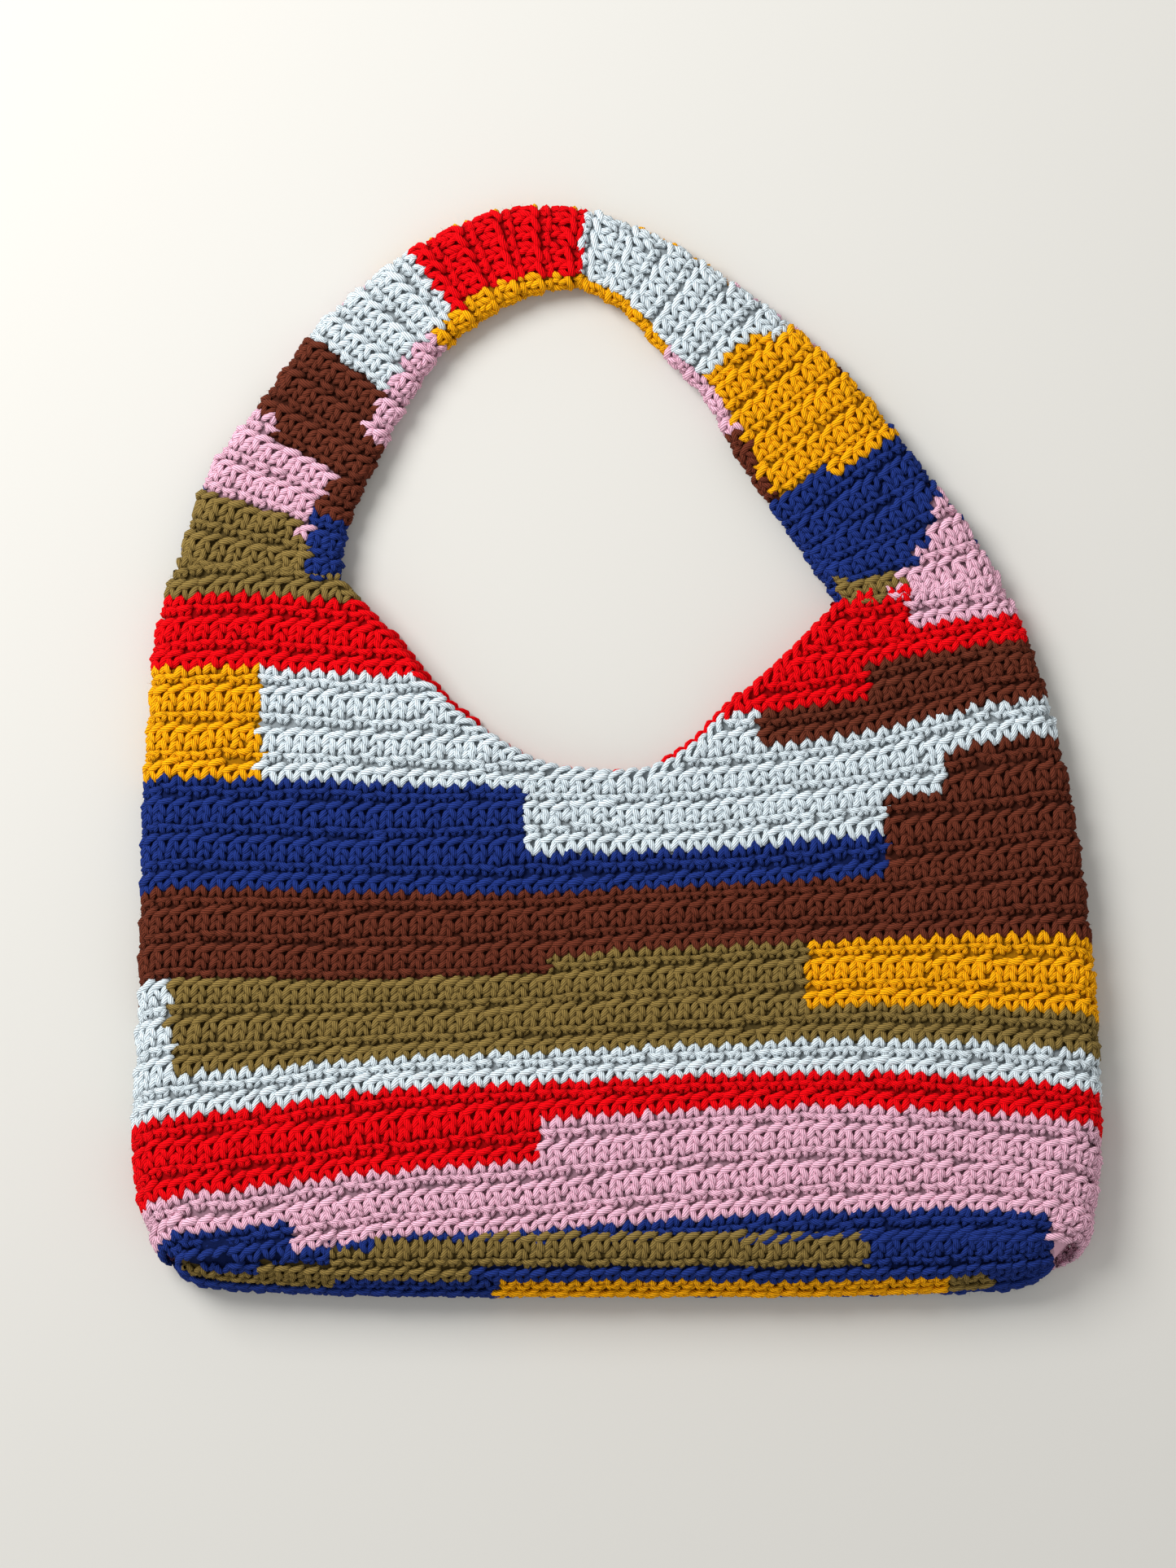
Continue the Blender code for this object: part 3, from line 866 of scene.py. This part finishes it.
def tubes(paths, normals, radii, sides):
    # many strands at once as open tubes: points, faces and unrolled coordinates
    ways = unit(np.gradient(paths, axis=1))
    sideways = unit(np.cross(ways, normals))
    upward = np.cross(sideways, ways)
    angles = math.pi / 2 + 2 * math.pi * np.arange(sides) / sides
    cosines, sines = (turn(angles)[None, None, :, None] for turn in (np.cos, np.sin))
    spokes = cosines * sideways[:, :, None] + sines * upward[:, :, None]
    rings = paths[:, :, None] + radii[:, :, None, None] * spokes
    count, steps = paths.shape[:2]
    index = np.arange(count * steps * sides).reshape(count, steps, sides)
    around = np.roll(index, -1, axis=2)
    faces = np.stack([index[:, :-1], index[:, 1:], around[:, 1:], around[:, :-1]], axis=-1).reshape(-1, 4)
    lengths = np.linalg.norm(np.diff(paths, axis=1), axis=2)
    way = np.concatenate([np.zeros((count, 1)), np.cumsum(lengths, axis=1)], axis=1) / mm
    way = way + rng.uniform(0, yarnFinishAndShade["layStart"], count)[:, None]
    u0 = np.repeat(way[:, :-1, None], sides, axis=2)
    u1 = np.repeat(way[:, 1:, None], sides, axis=2)
    v0 = np.broadcast_to(np.arange(sides) / sides, u0.shape)
    v1 = np.broadcast_to((np.arange(sides) + 1) / sides, u0.shape)
    uv = np.stack([np.stack(corner, -1) for corner in ((u0, v0), (u1, v0), (u1, v1), (u0, v1))], axis=3)
    return rings.reshape(-1, 3), faces, uv.reshape(-1, 2)


def meshPiece(name, points, faces, uv, depth, material):
    mesh = bpy.data.meshes.new(name)
    mesh.vertices.add(len(points))
    mesh.vertices.foreach_set("co", points.astype(np.float32).ravel())
    mesh.loops.add(faces.size)
    mesh.loops.foreach_set("vertex_index", faces.astype(np.int32).ravel())
    mesh.polygons.add(len(faces))
    mesh.polygons.foreach_set("loop_start", np.arange(0, faces.size, faces.shape[1], dtype=np.int32))
    mesh.uv_layers.new(name="strand").data.foreach_set("uv", uv.astype(np.float32).ravel())
    mesh.attributes.new("depth", "FLOAT", "POINT").data.foreach_set("value", depth.astype(np.float32))
    mesh.update(calc_edges=True)
    mesh.shade_smooth()
    mesh.materials.append(material)
    piece = bpy.data.objects.new(name, mesh)
    bpy.context.scene.collection.objects.link(piece)
    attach(piece, "root")
    return piece


total = 0
pieceNames = {"body": "body", "base": "base", "strap_left": "strapLeft", "strap_right": "strapRight"}
for node in nodeNames:
    for colour in yarnHex:
        points, faces, uvs, depths, offset = [], [], [], [], 0
        for (owner, dye, steps, sides), kept in sorted(strands.items()):
            if (owner, dye) != (node, colour):
                continue
            paths, normals, radii, depth = (np.array(part) for part in zip(*kept))
            some, quads, uv = tubes(paths, normals, radii, sides)
            depths.append(np.repeat(depth.ravel(), sides))
            points.append(some)
            faces.append(quads + offset)
            uvs.append(uv)
            offset += len(some)
        if not points:
            continue
        words = "".join(word.capitalize() for word in colour.split("_"))
        faces = np.concatenate(faces)
        points, uvs, depths = (np.concatenate(part) for part in (points, uvs, depths))
        name = pieceNames[node] + words
        meshPiece(name, points, faces, uvs, depths, materials[colour])
        total += 2 * len(faces)
        print(node, colour, 2 * len(faces), "triangles")
print("yarn triangles", total)


# The fabric behind the stitches: the solid's own skin, sunk below them and dyed block by block. Its colour
# is darkened as painted shade, strongly where the light hardly reaches between the strands, and less inside,
# where it lies bare.
core = dict(
    sink=1.7 * mm,
    backSink=0.5 * mm,
    innerSink=0.4 * mm,
    outerReach=2.9 * mm,
    # dim and innerDim are painted shade: the share of the yarn colour that the core keeps behind the strands
    # and inside
    dim=0.32,
    innerDim=0.75,
    longest=5.0 * mm,
    cuts=3,
    roughness=0.95,
    specular=0.1,
    lumpScale=420.0,
    lump=0.0006,
)


def coreMaterial():
    material = bpy.data.materials.new("fabricCore")
    material.use_nodes = True
    tree = material.node_tree
    surface = tree.nodes["Principled BSDF"]
    surface.inputs["Roughness"].default_value = core["roughness"]
    surface.inputs["Specular IOR Level"].default_value = core["specular"]
    # the dye attribute holds each block's yarn colour darkened by painted shade
    dye = addNode(tree, "ShaderNodeAttribute", attribute_name="dye")
    tree.links.new(dye.outputs["Color"], surface.inputs["Base Color"])
    place = addNode(tree, "ShaderNodeTexCoord")
    lumps = addNode(tree, "ShaderNodeTexNoise", Scale=core["lumpScale"], Detail=2.0)
    tree.links.new(place.outputs["Object"], lumps.inputs["Vector"])
    bump = addNode(tree, "ShaderNodeBump", Strength=1.0, Distance=core["lump"])
    tree.links.new(lumps.outputs["Fac"], bump.inputs["Height"])
    tree.links.new(bump.outputs[0], surface.inputs["Normal"])
    return material


fabricCore = coreMaterial()
rowReach = dict(below=0.25, above=0.15)


def rowKey(level):
    # whole number on a row, half number on the turned row above it
    row = math.floor(level + rowReach["below"])
    return row if level - row < rowReach["above"] else row + 0.5


def addCore(node):
    source = bpy.data.objects[node]
    shaper = bmesh.new()
    shaper.from_mesh(source.data)
    shaper.transform(source.matrix_world)
    for _ in range(core["cuts"]):
        long = [edge for edge in shaper.edges if edge.calc_length() > core["longest"]]
        if not long:
            break
        bmesh.ops.subdivide_edges(shaper, edges=long, cuts=1, use_grid_fill=True)
        bmesh.ops.triangulate(shaper, faces=[face for face in shaper.faces if len(face.verts) > 3])
    shaper.normal_update()
    surface = surfaces[node]
    flat = surface.points.reshape(-1, 3)
    nearest = KDTree(len(flat))
    for i, point in enumerate(flat):
        nearest.insert(point, i)
    nearest.balance()
    # both skins move into the wall, square to the fabric, so that the pieces still meet at their seams
    directions = surface.normals.reshape(-1, 3)
    for vertex in shaper.verts:
        _, i, distance = nearest.find(vertex.co)
        direction = Vector(directions[i])
        if distance < core["outerReach"]:
            vertex.co -= direction * (core["sink"] + core["backSink"] * max(-direction.z, 0))
        else:
            vertex.co += direction * core["innerSink"]
    mesh = bpy.data.meshes.new(pieceNames[node] + "Core")
    shaper.to_mesh(mesh)
    shaper.free()
    width = surface.points.shape[1]
    # each yarn colour darkened as painted shade: strongly behind the strands, less inside the bag
    shadedDyes = {
        (name, isInner): (*linearColour(text, core["innerDim"] if isInner else core["dim"]), 1.0)
        for name, text in yarnHex.items()
        for isInner in (False, True)
    }
    attribute = mesh.color_attributes.new(name="dye", type="FLOAT_COLOR", domain="CORNER")
    for face in mesh.polygons:
        _, i, distance = nearest.find(face.center)
        share = (i % width) / (width if surface.closed else width - 1)
        colour = colourAt(node, rowKey(surface.rows[i // width]), face.center, share)
        for corner in face.loop_indices:
            attribute.data[corner].color = shadedDyes[colour, distance > core["outerReach"]]
    mesh.shade_smooth()
    mesh.materials.append(fabricCore)
    piece = bpy.data.objects.new(mesh.name, mesh)
    bpy.context.scene.collection.objects.link(piece)
    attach(piece, "root")
    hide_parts(node)
    print(mesh.name, len(mesh.polygons), "faces")


for node in nodeNames:
    addCore(node)


# Pale floor, soft studio light and the camera straight above, as in the photo
studio = dict(
    floor="#D0CEC8",
    floorSize=6.0,
    floorHeight=-0.0004,
    floorRoughness=0.8,
    keyPlace=(-0.85, 0.75, 1.15),
    keySize=0.9,
    keyPower=26.0,
    world=0.60,
    cameraHeight=1.5,
    cameraPlace=(-0.0122, -0.0143),
    lens=80.6,
    sensor=36,
)


def addStage():
    bpy.ops.object.select_all(action="DESELECT")
    bpy.ops.mesh.primitive_plane_add(size=studio["floorSize"], location=(0, 0, studio["floorHeight"]))
    floor = bpy.context.object
    floor.name = "floor"
    paint = bpy.data.materials.new("floorPaint")
    paint.use_nodes = True
    coat = paint.node_tree.nodes["Principled BSDF"]
    coat.inputs["Base Color"].default_value = (*linearColour(studio["floor"]), 1)
    coat.inputs["Roughness"].default_value = studio["floorRoughness"]
    floor.data.materials.append(paint)
    lamp = bpy.data.lights.new("key", "AREA")
    lamp.shape = "DISK"
    lamp.size = studio["keySize"]
    lamp.energy = studio["keyPower"]
    key = bpy.data.objects.new("key", lamp)
    key.location = studio["keyPlace"]
    key.rotation_euler = (Vector((0, 0, 0)) - key.location).to_track_quat("-Z", "Y").to_euler()
    bpy.context.scene.collection.objects.link(key)
    world = bpy.data.worlds.new("studio")
    world.use_nodes = True
    background = world.node_tree.nodes["Background"]
    background.inputs["Color"].default_value = (1, 1, 1, 1)
    background.inputs["Strength"].default_value = studio["world"]
    bpy.context.scene.world = world
    lensData = bpy.data.cameras.new("camera")
    lensData.lens = studio["lens"]
    lensData.sensor_width = studio["sensor"]
    camera = bpy.data.objects.new("camera", lensData)
    camera.location = (*studio["cameraPlace"], studio["cameraHeight"])
    bpy.context.scene.collection.objects.link(camera)
    bpy.context.scene.camera = camera
    bpy.context.scene.view_settings.view_transform = "Standard"


addStage()
print("stage")
